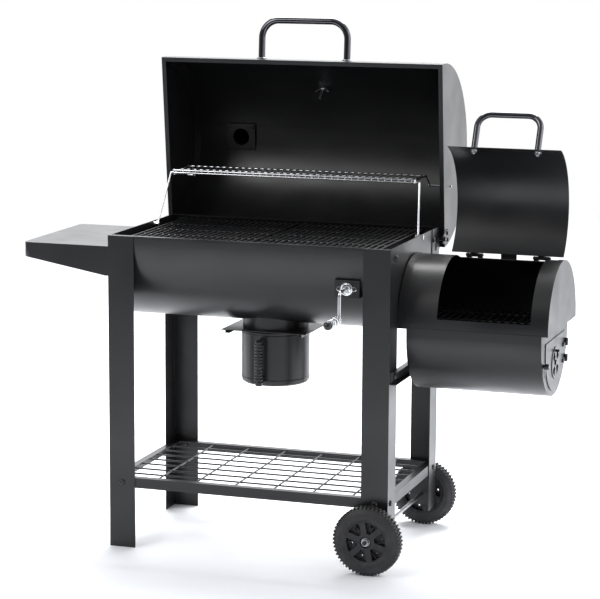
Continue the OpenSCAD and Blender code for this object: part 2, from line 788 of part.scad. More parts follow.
module firebox_lower_ends() {
  color("#2b2c2f") {
    low_end(low_x0);
    difference() {
      low_end(low_x1 - sheet);
      arc_x(low_x1 - 9, low_x1 + 9, door_y, door_z, 0.01, door_r - 14, -180, 0);
      box([low_x1 - 9, door_y - door_r + 14, door_z - 0.01],
        [low_x1 + 9, door_y + door_r - 14, door_z + 14]);
      cylx(low_x1 - 9, low_x1 + 9, latch_y, latch_z, 3.1);
    }
  }
}

module firebox_grate() {
  z = fb_z + 2.5;
  color("#1a1a1b") {
    for (i = [0:16]) {
      x = low_x0 + 10 + i * 19.6;
      rod([x, cy - fb_r + 6, z], [x, cy + fb_r - 6, z], 2.5);
    }
    for (y = [cy - 110, cy, cy + 110]) rod([low_x0 + 6, y, z - 3.5], [low_x1 - 8, y, z - 3.5], 2.5);
  }
}

module firebox_lid_stop() {
  color("#33353a") difference() {
    box([fl_xc - 20, fy + 6.2, fz - 26], [fl_xc + 20, fy + 8.8, fz + 22]);
    cylx(fl_xc - 40, fl_xc + 40, cy, fb_z, fb_r, $fn = fine);
  }
}

hinge_x = [fl_x0 + 36, fl_x1 - 78];

module firebox_hinges_fixed() {
  color("#33353a") for (x = hinge_x) {
    difference() {
      union() for (s = [0, 29]) {
        cylx(x + s, x + s + 13, fy, fz, 5);
        plate_x(x + s, x + s + 13, [[fy - 0.5, fz - 3.6], [fy + 4.3, fz - 1], [fy + 16, fz - 33],
          [fy - 0.5, fz - 33]]);
      }
      cylx(x - 9, x + 60, cy, fb_z, fb_r, $fn = fine);
    }
    cylx(x - 2, x + 44, fy, fz, 2.5);
  }
}

module firebox_hinges_moving() {
  color("#33353a") on_fb_lid() for (x = hinge_x) difference() {
    union() {
      cylx(x + 13.4, x + 28.6, fy, fz, 5);
      plate_x(x + 13.4, x + 28.6, [[fy - 40, fz + 7], [fy - 2.4, fz + 3.6], [fy + 1, fz - 4.2],
        [fy - 5, fz - 14], [fy - 40, fz - 14]]);
    }
    cylx(x, x + 60, cy, fb_z, fb_r + 3.6, $fn = fine);
    cylx(x, x + 60, fy, fz, 2.58);
  }
}

module firebox_lid() {
  color("#3a3b3e") on_fb_lid() difference() {
    arc_x(fl_x0, fl_x1, cy, fb_z, fb_r + 2, fb_r + 3.6, 5, 121);
    for (s = [-1, 1]) translate([fl_xc + s * 80, cy, fb_z]) rotate([78, 0, 0])
      cylinder(r = 3.2, h = 300);
  }
}

module firebox_lid_handle() {
  r = fb_r + 3.6;
  color("#3a3c40") on_fb_lid() translate([fl_xc, cy, fb_z]) rotate([78, 0, 0]) {
    translate([0, 0, r + 2]) u_handle(160, 100, 8, 34);
    for (s = [-1, 1]) translate([s * 80, 0, r]) {
      translate([0, 0, 0.05]) cylinder(r = 11, h = 3);
      translate([0, 0, -7]) cylinder(r = 3.1, h = 10);
      translate([0, 0, -7]) cylinder(r = 6, h = 4);
    }
  }
}

// ---- firebox door ----

dh_y = door_y + door_r + 2.5;
dh_x = door_x + 6;
latch_y = cy - 121;
latch_z = fb_z - 81;
damp_z = door_z - 39;

module door_leaf() {
  arc_x(door_x, door_x + 1.6, door_y, door_z, 0.01, door_r, -180, 0);
  box([door_x, door_y - door_r, door_z - 0.01], [door_x + 1.6, door_y + door_r, door_z + 24]);
}

module slots(x0, x1, r0, r1) {
  for (k = [0:3]) arc_x(x0, x1, door_y, damp_z, r0, r1, k * 90 + 22, k * 90 + 68);
}

module firebox_door() {
  color("#2b2c2f") {
    difference() {
      door_leaf();
      slots(door_x - 5, door_x + 5, 14, 34);
      cylx(door_x - 5, door_x + 5, door_y, damp_z, 4.08);
    }
    for (z = [door_z - 46, door_z - 5]) difference() {
      union() {
        translate([dh_x, dh_y, z - 9]) cylinder(r = 4, h = 8.7);
        box([door_x + 1.59, dh_y - 26, z - 9], [dh_x - 1, dh_y - 1, z - 0.3]);
      }
      translate([dh_x, dh_y, z - 20]) cylinder(r = 2.08, h = 40);
    }
  }
}

module door_hinge_fixed() {
  color("#33353a") for (z = [door_z - 46, door_z - 5]) {
    translate([dh_x, dh_y, z]) cylinder(r = 4, h = 9);
    translate([dh_x, dh_y, z - 10]) cylinder(r = 2, h = 12);
    box([low_x1, dh_y - 1.4, z], [dh_x, dh_y + 3, z + 9]);
  }
}

module air_damper() {
  color("#303236") {
    difference() {
      cylx(door_x + 2, door_x + 3.4, door_y, damp_z, 40);
      slots(door_x - 5, door_x + 9, 14, 34);
    }
    cylx(door_x - 3, door_x + 5, door_y, damp_z, 4);
    cylx(door_x + 3, door_x + 6, door_y, damp_z, 7);
    cylx(door_x + 3, door_x + 12, door_y, damp_z + 30, 3.2);
    cylx(door_x - 4, door_x - 0.3, door_y, damp_z, 7);
  }
}

module door_latch() {
  color("#18181a") {
    cylx(low_x1 - 6, low_x1 + 6, latch_y, latch_z, 3);
    cylx(low_x1 - 6, low_x1 - sheet - 0.3, latch_y, latch_z, 6);
    cylx(door_x + 2.2, door_x + 4, latch_y, latch_z, 6);
    box([door_x + 2.2, latch_y - 4.5, latch_z - 26], [door_x + 4, latch_y + 4.5, latch_z]);
    cylx(door_x + 4, door_x + 14, latch_y, latch_z, 7);
    cylx(low_x1 + 0.3, door_x + 2.3, latch_y, latch_z, 5);
  }
}

// ---- assembly ----

translate([-ox, -oy, 0]) {
  leg_front_left();
  leg_front_right();
  leg_back_left();
  leg_back_right();
  end_panel_left();
  end_panel_right();
  trough();
  shelf_rail_front();
  shelf_rail_back();
  shelf_rail_left();
  shelf_rail_right();
  shelf_wires();
  firebox_brace();
  axle();
  axle_nuts();
  side_table();
  frame_bolts();
  cooking_grate_left();
  cooking_grate_right();
  crank_bracket();
  crank_flange();
  tray_guides();
  ash_collar();
  lid_hinge_plates();
  arm_pivots();
  firebox_shell();
  firebox_ends();
  firebox_lower_shell();
  firebox_lower_ends();
  firebox_throat();
  firebox_grate();
  firebox_lid_stop();
  firebox_hinges_fixed();
  door_hinge_fixed();
  wheel_front();
  wheel_back();
  crank_shaft();
  crank_arm();
  crank_grip();
  charcoal_tray();
  tray_rack();
  ash_can();
  ash_can_handle();
  lid_shell();
  lid_end_left();
  lid_end_right();
  lid_handle();
  lid_washers();
  lid_hinge_lugs();
  thermometer();
  chimney();
  chimney_cap();
  warming_rack();
  rack_arms();
  firebox_lid();
  firebox_lid_handle();
  firebox_hinges_moving();
  firebox_door();
  door_latch();
  air_damper();
}
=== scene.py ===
"""Offset smoker: materials, fine detail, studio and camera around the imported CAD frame."""

import math

import bmesh
import bpy
from mathutils import Matrix, Vector
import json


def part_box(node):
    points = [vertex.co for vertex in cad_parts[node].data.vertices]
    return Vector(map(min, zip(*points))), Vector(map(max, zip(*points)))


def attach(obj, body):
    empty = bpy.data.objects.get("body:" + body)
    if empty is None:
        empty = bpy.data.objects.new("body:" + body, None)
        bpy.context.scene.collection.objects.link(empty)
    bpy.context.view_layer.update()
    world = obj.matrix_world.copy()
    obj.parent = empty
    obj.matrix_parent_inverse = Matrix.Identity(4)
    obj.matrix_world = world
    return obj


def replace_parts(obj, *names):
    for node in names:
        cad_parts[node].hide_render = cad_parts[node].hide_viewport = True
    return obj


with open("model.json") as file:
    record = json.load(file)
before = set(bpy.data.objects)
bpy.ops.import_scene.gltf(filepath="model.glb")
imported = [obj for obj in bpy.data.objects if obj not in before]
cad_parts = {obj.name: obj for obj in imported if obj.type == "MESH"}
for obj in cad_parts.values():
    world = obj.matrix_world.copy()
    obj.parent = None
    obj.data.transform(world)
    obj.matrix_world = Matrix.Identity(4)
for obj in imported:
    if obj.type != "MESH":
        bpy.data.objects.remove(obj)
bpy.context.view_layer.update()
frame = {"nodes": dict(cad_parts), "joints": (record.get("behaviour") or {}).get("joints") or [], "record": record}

# ---- the design's own coordinates: millimetres from the front left leg's outer corner ----

MM = 0.001
leg_lo, leg_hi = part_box("leg_front_left")
origin = Vector((leg_lo.x, leg_lo.y, 0))
joints = {j["name"]: j for j in frame["joints"]}

BODY_L = (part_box("leg_front_right")[1].x - leg_lo.x) / MM
BODY_D = (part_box("leg_back_left")[1].y - leg_lo.y) / MM
BODY_H = leg_hi.z / MM
MID_Y = BODY_D / 2
LID_R = MID_Y + 14
LID_Z = BODY_H - 18
FIREBOX_Z = BODY_H - 199


def place(x, y, z):
    """A point of the design, in metres in the row frame."""
    return origin + Vector((x, y, z)) * MM


def opened(joint_name):
    """The turn that swings a lid from its closed place to the rest pose."""
    joint = joints[joint_name]
    pivot = Vector(joint["pos_m"])
    angle = math.radians(joint["range_deg"][1])
    turn = Matrix.Rotation(-angle, 4, "X")
    return Matrix.Translation(pivot) @ turn @ Matrix.Translation(-pivot)


LID_OPEN = opened("lid_hinge")
FIRE_LID_OPEN = opened("firebox_lid_hinge")


# ---- materials ----


class Shader:
    """A Principled material with short helpers for its nodes."""

    def __init__(self, name, color, roughness, metallic=0.0):
        self.material = bpy.data.materials.new(name)
        self.material.use_nodes = True
        self.nodes = self.material.node_tree.nodes
        self.links = self.material.node_tree.links
        self.main = self.nodes["Principled BSDF"]
        self.main.inputs["Base Color"].default_value = (*color, 1)
        self.main.inputs["Roughness"].default_value = roughness
        self.main.inputs["Metallic"].default_value = metallic
        self.coords = self.nodes.new("ShaderNodeTexCoord").outputs["Object"]

    def link(self, out, to):
        self.links.new(out, to)

    def noise(self, scale, detail=3.0, stretch=(1, 1, 1)):
        mapping = self.nodes.new("ShaderNodeMapping")
        mapping.inputs["Scale"].default_value = stretch
        self.link(self.coords, mapping.inputs["Vector"])
        noise = self.nodes.new("ShaderNodeTexNoise")
        noise.inputs["Scale"].default_value = scale
        noise.inputs["Detail"].default_value = detail
        self.link(mapping.outputs["Vector"], noise.inputs["Vector"])
        return noise.outputs["Fac"]

    def spread(self, value, low, high, start=0.3, end=0.7):
        """Maps a noise value to a range."""
        node = self.nodes.new("ShaderNodeMapRange")
        node.inputs["From Min"].default_value = start
        node.inputs["From Max"].default_value = end
        node.inputs["To Min"].default_value = low
        node.inputs["To Max"].default_value = high
        self.link(value, node.inputs["Value"])
        return node.outputs["Result"]

    def blend(self, factor, first, second):
        node = self.nodes.new("ShaderNodeMix")
        node.data_type = "RGBA"
        node.inputs["A"].default_value = (*first, 1)
        node.inputs["B"].default_value = (*second, 1)
        self.link(factor, node.inputs["Factor"])
        return node.outputs["Result"]

    def color(self, out):
        self.link(out, self.main.inputs["Base Color"])

    def roughness(self, out):
        self.link(out, self.main.inputs["Roughness"])

    def bump(self, height, strength, distance):
        node = self.nodes.new("ShaderNodeBump")
        node.inputs["Strength"].default_value = strength
        node.inputs["Distance"].default_value = distance
        self.link(height, node.inputs["Height"])
        if self.main.inputs["Normal"].is_linked:
            before = self.main.inputs["Normal"].links[0].from_socket
            self.link(before, node.inputs["Normal"])
        self.link(node.outputs["Normal"], self.main.inputs["Normal"])


def powder_coat(name, base, rough, grain=1100):
    """Satin powder coat: orange peel, fine speckle and faint handling marks."""
    s = Shader(name, base, rough)
    light = tuple(c * 1.4 + 0.002 for c in base)
    speckle = s.spread(s.noise(grain, 2), 0.0, 1.0, 0.42, 0.75)
    s.color(s.blend(speckle, base, light))
    marks = s.noise(9, 5)
    s.roughness(s.spread(marks, rough - 0.05, rough + 0.07))
    s.bump(s.noise(260, 2), 0.12, 0.0006)
    s.bump(s.noise(grain * 1.4, 1), 0.10, 0.0002)
    return s.material


def gloss_enamel(name, base, rough):
    """Porcelain enamel on wire: glossy, a little wavy where it ran."""
    s = Shader(name, base, rough)
    runs = s.noise(60, 3)
    s.roughness(s.spread(runs, rough - 0.06, rough + 0.12))
    s.color(s.blend(s.spread(s.noise(25, 4), 0, 1), base, tuple(c * 1.8 + 0.004 for c in base)))
    s.bump(s.noise(170, 2), 0.2, 0.0005)
    return s.material


def plated(name, base, rough):
    """Bright plating over drawn wire: clean, with faint cloudiness and drawing lines."""
    s = Shader(name, base, rough, 1.0)
    s.roughness(s.spread(s.noise(45, 4), rough - 0.04, rough + 0.1))
    s.color(s.blend(s.spread(s.noise(18, 3), 0, 1), base, tuple(c * 0.82 for c in base)))
    s.bump(s.noise(300, 2, (1, 6, 1)), 0.06, 0.0002)
    return s.material


def zinc(name, base, rough):
    """Zinc plated steel with turning lines and dull patches."""
    s = Shader(name, base, rough, 1.0)
    s.roughness(s.spread(s.noise(80, 5), rough - 0.08, rough + 0.16))
    s.color(s.blend(s.spread(s.noise(120, 5), 0, 1), base, tuple(c * 0.68 for c in base)))
    s.bump(s.noise(900, 2, (1, 8, 1)), 0.12, 0.0002)
    return s.material


def moulded(name, base, rough, grain):
    """Moulded plastic with spark-eroded grain and scuffs."""
    s = Shader(name, base, rough)
    scuffs = s.spread(s.noise(38, 6), 0, 1, 0.45, 0.75)
    s.color(s.blend(scuffs, base, tuple(c * 1.7 + 0.006 for c in base)))
    s.roughness(s.spread(s.noise(70, 4), rough - 0.07, rough + 0.09))
    s.bump(s.noise(grain, 3), 0.22, 0.0003)
    return s.material


MATERIALS = {
    "black_coat": powder_coat("black_coat", (0.008, 0.0082, 0.009), 0.33),
    "hinge_coat": powder_coat("hinge_coat", (0.012, 0.012, 0.013), 0.32, 1400),
    "wire_enamel": gloss_enamel("wire_enamel", (0.008, 0.008, 0.009), 0.36),
    "chrome_wire": plated("chrome_wire", (0.74, 0.75, 0.77), 0.09),
    "zinc_steel": zinc("zinc_steel", (0.60, 0.61, 0.63), 0.34),
    "dark_bolt": powder_coat("dark_bolt", (0.016, 0.016, 0.018), 0.30, 1500),
    "handle_chrome": plated("handle_chrome", (0.10, 0.10, 0.11), 0.10),
    "wheel_plastic": moulded("wheel_plastic", (0.016, 0.016, 0.017), 0.58, 1300),
    "knob_plastic": moulded("knob_plastic", (0.010, 0.010, 0.011), 0.26, 700),
}


FLAT_NODES = ("leg_", "shelf_rail_", "firebox_brace", "side_table", "tray_guides")


def paint_frame():
    """Gives each CAD node the material of its slot, and flat sheet its small edge radius."""
    slots = {row["node"]: row["material_slot"] for row in frame["record"]["subparts"]}
    for name, node in frame["nodes"].items():
        node.data.materials.clear()
        node.data.materials.append(MATERIALS[slots[name]])
        if not name.startswith(FLAT_NODES):
            continue
        weld = node.modifiers.new("weld", "WELD")
        weld.merge_threshold = 0.00002
        bevel = node.modifiers.new("edges", "BEVEL")
        bevel.width = 0.0004
        bevel.segments = 2
        bevel.limit_method = "ANGLE"
        bevel.angle_limit = math.radians(40)
        bevel.harden_normals = False


paint_frame()

# ---- fine pieces ----


def hexed(radius, angle):
    """How far out a hexagon of this corner radius reaches at an angle."""
    half = math.radians(30)
    return radius * math.cos(half) / math.cos(angle % (2 * half) - half)


def loop_faces(rows, ring):
    """Faces between neighbouring loops of vertex numbers; a loop may be one point."""
    faces = []
    for low, high in zip(rows, rows[1:] + (rows[:1] if ring else [])):
        for i in range(len(low)):
            j = (i + 1) % len(low)
            face = list(dict.fromkeys((low[i], low[j], high[j], high[i])))
            if len(face) > 2:
                faces.append(face)
    return faces


class Solid:
    """The surfaces of one piece, in design millimetres, drawn in a local frame."""

    def __init__(self, local=None):
        self.local = local or Matrix.Identity(4)
        self.verts, self.faces = [], []

    def add(self, verts, faces):
        start = len(self.verts)
        self.verts += [self.local @ Vector(v) for v in verts]
        self.faces += [[start + i for i in face] for face in faces]

    def lathe(self, profile, sides=48, ring=False):
        """Turns (radius, height) pairs about local Z; a third value makes that loop a hexagon."""
        verts, rows = [], []
        for radius, height, *six in profile:
            start = len(verts)
            if radius == 0:
                rows.append([start] * sides)
                verts.append((0, 0, height))
                continue
            rows.append([start + i for i in range(sides)])
            for i in range(sides):
                angle = 2 * math.pi * i / sides
                r = hexed(radius, angle) if six else radius
                verts.append((r * math.cos(angle), r * math.sin(angle), height))
        self.add(verts, loop_faces(rows, ring))

    def block(self, base, top):
        """Joins two outlines of as many points and closes both ends."""
        n = len(base)
        sides = [[i, (i + 1) % n, n + (i + 1) % n, n + i] for i in range(n)]
        self.add([*base, *top], [list(range(n)), [n + i for i in range(n)], *sides])

    def bar(self, low, high):
        """A straight bar between two corners."""
        (x0, y0, z0), (x1, y1, z1) = low, high
        outline = ((x0, y0), (x1, y0), (x1, y1), (x0, y1))
        self.block([(x, y, z0) for x, y in outline], [(x, y, z1) for x, y in outline])

    def tube(self, path, radius, sides=12):
        points = [Vector(p) for p in path]
        side = (points[1] - points[0]).orthogonal()
        verts, rows = [], []
        for i, point in enumerate(points):
            ahead = points[min(i + 1, len(points) - 1)] - points[max(i - 1, 0)]
            ahead.normalize()
            side = (side - ahead * side.dot(ahead)).normalized()
            other = ahead.cross(side)
            rows.append([len(verts) + k for k in range(sides)])
            for k in range(sides):
                angle = 2 * math.pi * k / sides
                out = side * math.cos(angle) + other * math.sin(angle)
                verts.append(point + out * radius)
        self.add(verts, [*loop_faces(rows, False), rows[0][::-1], rows[-1]])

    def mesh(self, name, turn=None):
        mesh = bpy.data.meshes.new(name)
        to_row = (turn or Matrix.Identity(4)) @ Matrix.Translation(origin)
        mesh.from_pydata([to_row @ (v * MM) for v in self.verts], [], self.faces)
        tidy = bmesh.new()
        tidy.from_mesh(mesh)
        bmesh.ops.recalc_face_normals(tidy, faces=tidy.faces)
        tidy.to_mesh(mesh)
        tidy.free()
        return mesh


def piece(name, solid, slot, body, turn=None, edge=0.0, cutter=None):
    """Makes the solid an object that rides on a body; edge is the width of its worn edges in mm."""
    item = bpy.data.objects.new(name, solid.mesh(name, turn))
    bpy.context.scene.collection.objects.link(item)
    if cutter:
        tool = bpy.data.objects.new(name + "_cut", cutter.mesh(name + "_cut", turn))
        bpy.context.scene.collection.objects.link(tool)
        cut = item.modifiers.new("cut", "BOOLEAN")
        cut.object = tool
        cut.operation = "DIFFERENCE"
        cut.solver = "EXACT"
        cut.use_self = True
        bpy.context.view_layer.update()
        ready = item.evaluated_get(bpy.context.evaluated_depsgraph_get())
        item.data = bpy.data.meshes.new_from_object(ready)
        item.modifiers.clear()
        bpy.data.objects.remove(tool)
    item.data.materials.clear()
    item.data.materials.append(MATERIALS[slot])
    item.data.polygons.foreach_set("use_smooth", [True] * len(item.data.polygons))
    item.data.set_sharp_from_angle(angle=math.radians(32))
    if edge:
        bevel = item.modifiers.new("edges", "BEVEL")
        bevel.width = edge * MM
        bevel.segments = 2
        bevel.limit_method = "ANGLE"
        bevel.angle_limit = math.radians(35)
    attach(item, body)
    return item


def local_frame(spot, turn=(0, 0, 0), flipped=False):
    """A local frame at a design point, turned by degrees about X, then Y, then Z.

    A flipped frame has its own Z axis reversed.
    """
    made = Matrix.Translation(spot)
    for angle, axis in zip(reversed(turn), "ZYX"):
        made = made @ Matrix.Rotation(math.radians(angle), 4, axis)
    return made @ Matrix.Diagonal((1, 1, -1, 1)) if flipped else made


# wheels: carcass with pockets and ribs, and two rows of staggered lugs

WHEEL_LO, WHEEL_HI = ((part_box("wheel_front")[k] - origin) / MM for k in (0, 1))
WHEEL_R = (WHEEL_HI.z - WHEEL_LO.z) / 2
WHEEL_W = WHEEL_HI.y - WHEEL_LO.y
AXLE_X = (WHEEL_LO.x + WHEEL_HI.x) / 2
AXLE_BORE = 5.1
LUGS = 54
POCKETS = 6
POCKET_START = -12
POCKET_STEP = 360 / POCKETS
POCKET_DEEP = 16
POCKET_MIDDLE = 0.43 * WHEEL_R
WEB_HOLE_AT = 0.46 * WHEEL_R
WEB_HOLE_R = 3.5
RIB_AT = 0.07 * WHEEL_R
RIB_TOP = 7
RIB_FOOT = 17


def around(radius, degrees, height):
    """A point given by its radius, angle and height on a local Z axis."""
    angle = math.radians(degrees)
    return (radius * math.cos(angle), radius * math.sin(angle), height)


def wheel_carcass(local):
    """The turned wheel: hub, web, rim and the tread between the lugs, the same on both faces."""
    half = [(AXLE_BORE, 10), (0.15 * WHEEL_R, 10), (0.16 * WHEEL_R, 4),
            (0.165 * WHEEL_R, 2.6), (0.20 * WHEEL_R, 2.6), (0.22 * WHEEL_R, 3.6), (0.30 * WHEEL_R, 4),
            (0.32 * WHEEL_R, 4.4), (0.60 * WHEEL_R, 4.4), (0.635 * WHEEL_R, 1.4),
            (0.655 * WHEEL_R, 0.5), (0.72 * WHEEL_R, 0), (0.735 * WHEEL_R, 1),
            (0.755 * WHEEL_R, 1.1), (0.77 * WHEEL_R, 0.9), (0.84 * WHEEL_R, 2.8),
            (0.90 * WHEEL_R, 5.6), (0.945 * WHEEL_R, 8.6), (0.953 * WHEEL_R, 13)]
    other = [(radius, WHEEL_W - depth) for radius, depth in reversed(half)]
    carcass = Solid(local)
    carcass.lathe(half + other, 144, ring=True)
    return carcass


def wheel_cutter(local):
    """Wedge pockets in both faces and a small hole through each web."""
    cutter = Solid(local)
    wedge = ((0.25, -0.05), (0.25, 0.05), (0.54, 0.215), (0.57, 0.11), (0.58, 0),
             (0.57, -0.11), (0.54, -0.215))
    outline = [(x * WHEEL_R, y * WHEEL_R) for x, y in wedge]
    narrowed = [(POCKET_MIDDLE + (x - POCKET_MIDDLE) * 0.94, y * 0.9) for x, y in outline]
    hole_start = POCKET_DEEP - 1
    hole_length = WHEEL_W - 2 * hole_start
    for k in range(POCKETS):
        turned = Matrix.Rotation(math.radians(POCKET_START + POCKET_STEP * k), 4, "Z")
        cutter.local = local @ turned
        for bottom, mouth in ((POCKET_DEEP, -1), (WHEEL_W - POCKET_DEEP, WHEEL_W + 1)):
            cutter.block([(x, y, mouth) for x, y in outline],
                         [(x, y, bottom) for x, y in narrowed])
        cutter.local = local @ turned @ Matrix.Translation((WEB_HOLE_AT, 0, hole_start))
        cutter.lathe([(0, 0), (WEB_HOLE_R, 0), (WEB_HOLE_R, hole_length), (0, hole_length)], 24)
    return cutter


def wheel_lugs(local):
    """Two rows of tread lugs, half a step apart, and the short ribs inside the pockets."""
    lugs = Solid(local)
    step = 360 / LUGS
    middle = WHEEL_W / 2
    for k in range(LUGS):
        for side, shift in ((1, 0), (-1, 0.5)):
            at = (k + shift) * step

            def lug(radius, half_angle, outer, inner):
                ends = ((-half_angle, outer), (half_angle, outer),
                        (half_angle, inner), (-half_angle, inner))
                return [around(radius * WHEEL_R, at + turn, middle - side * (middle - depth))
                        for turn, depth in ends]

            lugs.block(lug(0.93, 1.9, 6.2, middle - 0.6), lug(0.999, 1.4, 10, middle - 1))
    for k in range(POCKETS):
        turned = Matrix.Rotation(math.radians(POCKET_START + POCKET_STEP * k), 4, "Z")
        lugs.local = local @ turned @ Matrix.Translation((0, RIB_AT, 0))
        for near, far in ((RIB_TOP, RIB_FOOT), (WHEEL_W - RIB_FOOT, WHEEL_W - RIB_TOP)):
            lugs.bar((0.32 * WHEEL_R, -0.8, near), (0.578 * WHEEL_R, 0.8, far))
    return lugs


axle_nuts = Solid()
for node, body, outer_y, flipped in (
        ("wheel_front", "front_wheel", WHEEL_LO.y, False),
        ("wheel_back", "back_wheel", BODY_D - WHEEL_LO.y, True)):
    local = local_frame((AXLE_X, outer_y, WHEEL_R), (-90, 0, 0), flipped)
    carcass = piece(node + "_tyre", wheel_carcass(local), "wheel_plastic", body,
                    cutter=wheel_cutter(local))
    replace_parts(carcass, node)
    piece(node + "_lugs", wheel_lugs(local), "wheel_plastic", body, edge=0.5)

    tip = Solid(local)
    tip.lathe([(0, -9.6), (3.6, -9.6), (4.8, -9), (5.4, -8), (5.4, -3), (5.05, -3), (5.05, -7.9),
               (0, -7.9)], 30)
    piece(node + "_axle_tip", tip, "dark_bolt", "frame")
    axle_nuts.local = local
    axle_nuts.lathe([(AXLE_BORE, -2), (8.6, -2), (9.8, -1.2, 6), (9.8, 4.8, 6), (9.2, 5.6),
                     (AXLE_BORE, 5.6)], 36, ring=True)
    axle_nuts.lathe([(AXLE_BORE, 5.7), (10.6, 5.7), (11, 6.2), (11, 7), (10.6, 7.5),
                     (AXLE_BORE, 7.5)], 40, ring=True)
    axle_nuts.lathe([(AXLE_BORE, WHEEL_W + 0.4), (8.6, WHEEL_W + 0.4), (9, WHEEL_W + 0.9),
                     (9, WHEEL_W + 11.4), (8.6, WHEEL_W + 11.9),
                     (AXLE_BORE, WHEEL_W + 11.9)], 40, ring=True)

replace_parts(piece("axle_nut_set", axle_nuts, "zinc_steel", "frame"), "axle_nuts")

# fasteners


def button_bolt(solid, grip):
    """Socket button bolt along local Z: head below zero, nut and thread end above the grip."""
    solid.lathe([(0, -2.2), (2.7, -2.2, 6), (2.7, -4, 6), (4.4, -4.1), (6.1, -3.4), (7.1, -2.2),
                 (7.5, -1), (7.5, -0.2), (7.3, 0), (3.9, 0), (3.9, grip), (7.1, grip),
                 (7.5, grip + 0.7, 6), (7.5, grip + 4.3, 6), (6.9, grip + 5), (3.9, grip + 5),
                 (3.9, grip + 5.4), (3.2, grip + 6), (0, grip + 6)], 36)


def hex_nut(solid, low, high, radius, bore):
    """A chamfered nut on a thread end, on local Z."""
    solid.lathe([(bore, low), (radius * 0.94, low), (radius, low + 0.6, 6),
                 (radius, high - 0.6, 6), (radius * 0.94, high), (bore, high)], 36, ring=True)


def washer(solid, low, high, radius, bore):
    solid.lathe([(bore, low), (radius - 0.4, low), (radius, low + 0.4), (radius, high - 0.4),
                 (radius - 0.4, high), (bore, high)], 40, ring=True)


SHEET = 2
SHELF_BOLT_X = 34
SHELF_BOLT_Y = 24
SHELF_BOLT_Z = 169
BRACE_BOLT_Y = 40
BRACE_BOLT_Z = 483
TABLE_BOLT_Y = 54
TABLE_BOLT_Z = 745
RIGHT_BOLT_Z = 772


def frame_bolts():
    """The bolts of the shelf rails, the side table, the right end and the firebox braces."""
    bolts = Solid()

    def put(spot, turn, sheets):
        bolts.local = local_frame(spot, turn)
        button_bolt(bolts, sheets * SHEET)

    for x in (SHELF_BOLT_X, BODY_L - SHELF_BOLT_X):
        put((x, 0, SHELF_BOLT_Z), (-90, 0, 0), 2)
        put((x, BODY_D, SHELF_BOLT_Z), (90, 0, 0), 2)
    for y in (SHELF_BOLT_Y, BODY_D - SHELF_BOLT_Y):
        put((0, y, SHELF_BOLT_Z), (0, 90, 0), 2)
        put((BODY_L, y, SHELF_BOLT_Z), (0, -90, 0), 2)
    for y in (TABLE_BOLT_Y, BODY_D - TABLE_BOLT_Y):
        put((-SHEET, y, TABLE_BOLT_Z), (0, 90, 0), 3)
        put((BODY_L, y, RIGHT_BOLT_Z), (0, -90, 0), 2)
    for y in (BRACE_BOLT_Y, BODY_D - BRACE_BOLT_Y):
        put((BODY_L + SHEET, y, BRACE_BOLT_Z), (0, -90, 0), 2)
    return bolts


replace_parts(piece("frame_bolt_set", frame_bolts(), "dark_bolt", "frame"), "frame_bolts")

# main lid: handle washers and nuts, thermometer dial, chimney bolts, bead and cap nut

LID_TOP = Matrix.Translation((BODY_L / 2, MID_Y, LID_Z))
HANDLE_TILT = Matrix.Rotation(math.radians(80.3), 4, "X")
DIAL_TILT = Matrix.Rotation(math.radians(34.7), 4, "X")
HANDLE_HALF = 116.5
HANDLE_WASHER_R = 13
CHIMNEY_X = 117
CHIMNEY_Y = MID_Y + 16
CHIMNEY_LENGTH = 170
CHIMNEY_TOP = LID_Z + LID_R + CHIMNEY_LENGTH
CHIMNEY_BOLT_Z = LID_Z + 228
CAP_PIN_Y = CHIMNEY_Y + 34


def handle_fasteners(local, half_span, big):
    """For each end of a tube handle: a washer outside the lid, a washer and a nut inside."""
    bore = 3
    nuts = Solid()
    for side in (-1, 1):
        nuts.local = local @ Matrix.Translation((side * half_span, 0, 0))
        washer(nuts, 0.05, 2.9, big, bore)
        washer(nuts, -SHEET - 1.6, -SHEET - 0.1, big * 0.78, bore)
        hex_nut(nuts, -SHEET - 7.4, -SHEET - 1.7, 6.6, bore)
        nuts.lathe([(0, -13.4), (2.5, -13.4), (3.1, -12.8), (3.1, 2), (0, 2)], 24)
    return nuts


HANDLE = LID_TOP @ HANDLE_TILT @ Matrix.Translation((0, 0, LID_R))
main_nuts = handle_fasteners(HANDLE, HANDLE_HALF, HANDLE_WASHER_R)
main_nuts = piece("lid_handle_nuts", main_nuts, "zinc_steel", "main_lid", LID_OPEN)
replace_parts(main_nuts, "lid_washers")


DIAL_START = -225
DIAL_SWEEP = 270
DIAL_STEPS = 40
NEEDLE_AT = -205


def dial_bezel(local):
    """The rolled ring round the dial and the small boss at its middle."""
    bezel = Solid(local)
    bezel.lathe([(22, 15.05), (26.2, 15.05), (27, 15.8), (26.8, 17), (25.6, 18), (24, 18.2),
                 (23, 17.8), (22, 16)], 72, ring=True)
    bezel.lathe([(0, 15.6), (3, 15.6), (2.6, 17), (0, 17.3)], 24)
    return bezel


def dial_marks(local):
    """Long and short marks around the scale, and a needle."""
    marks = Solid(local)
    for k in range(DIAL_STEPS + 1):
        degrees = DIAL_START + DIAL_SWEEP * k / DIAL_STEPS
        marks.local = local @ Matrix.Rotation(math.radians(degrees), 4, "Z")
        inner, half_width = (17, 0.4) if k % 5 == 0 else (18.6, 0.2)
        marks.bar((inner, -half_width, 15.35), (20.6, half_width, 15.6))
    marks.local = local @ Matrix.Rotation(math.radians(NEEDLE_AT), 4, "Z")
    needle = ((-5, -0.9), (16.5, -0.2), (16.5, 0.2), (-5, 0.9))
    marks.block([(x, y, 15.9) for x, y in needle], [(x, y, 16.4) for x, y in needle])
    return marks


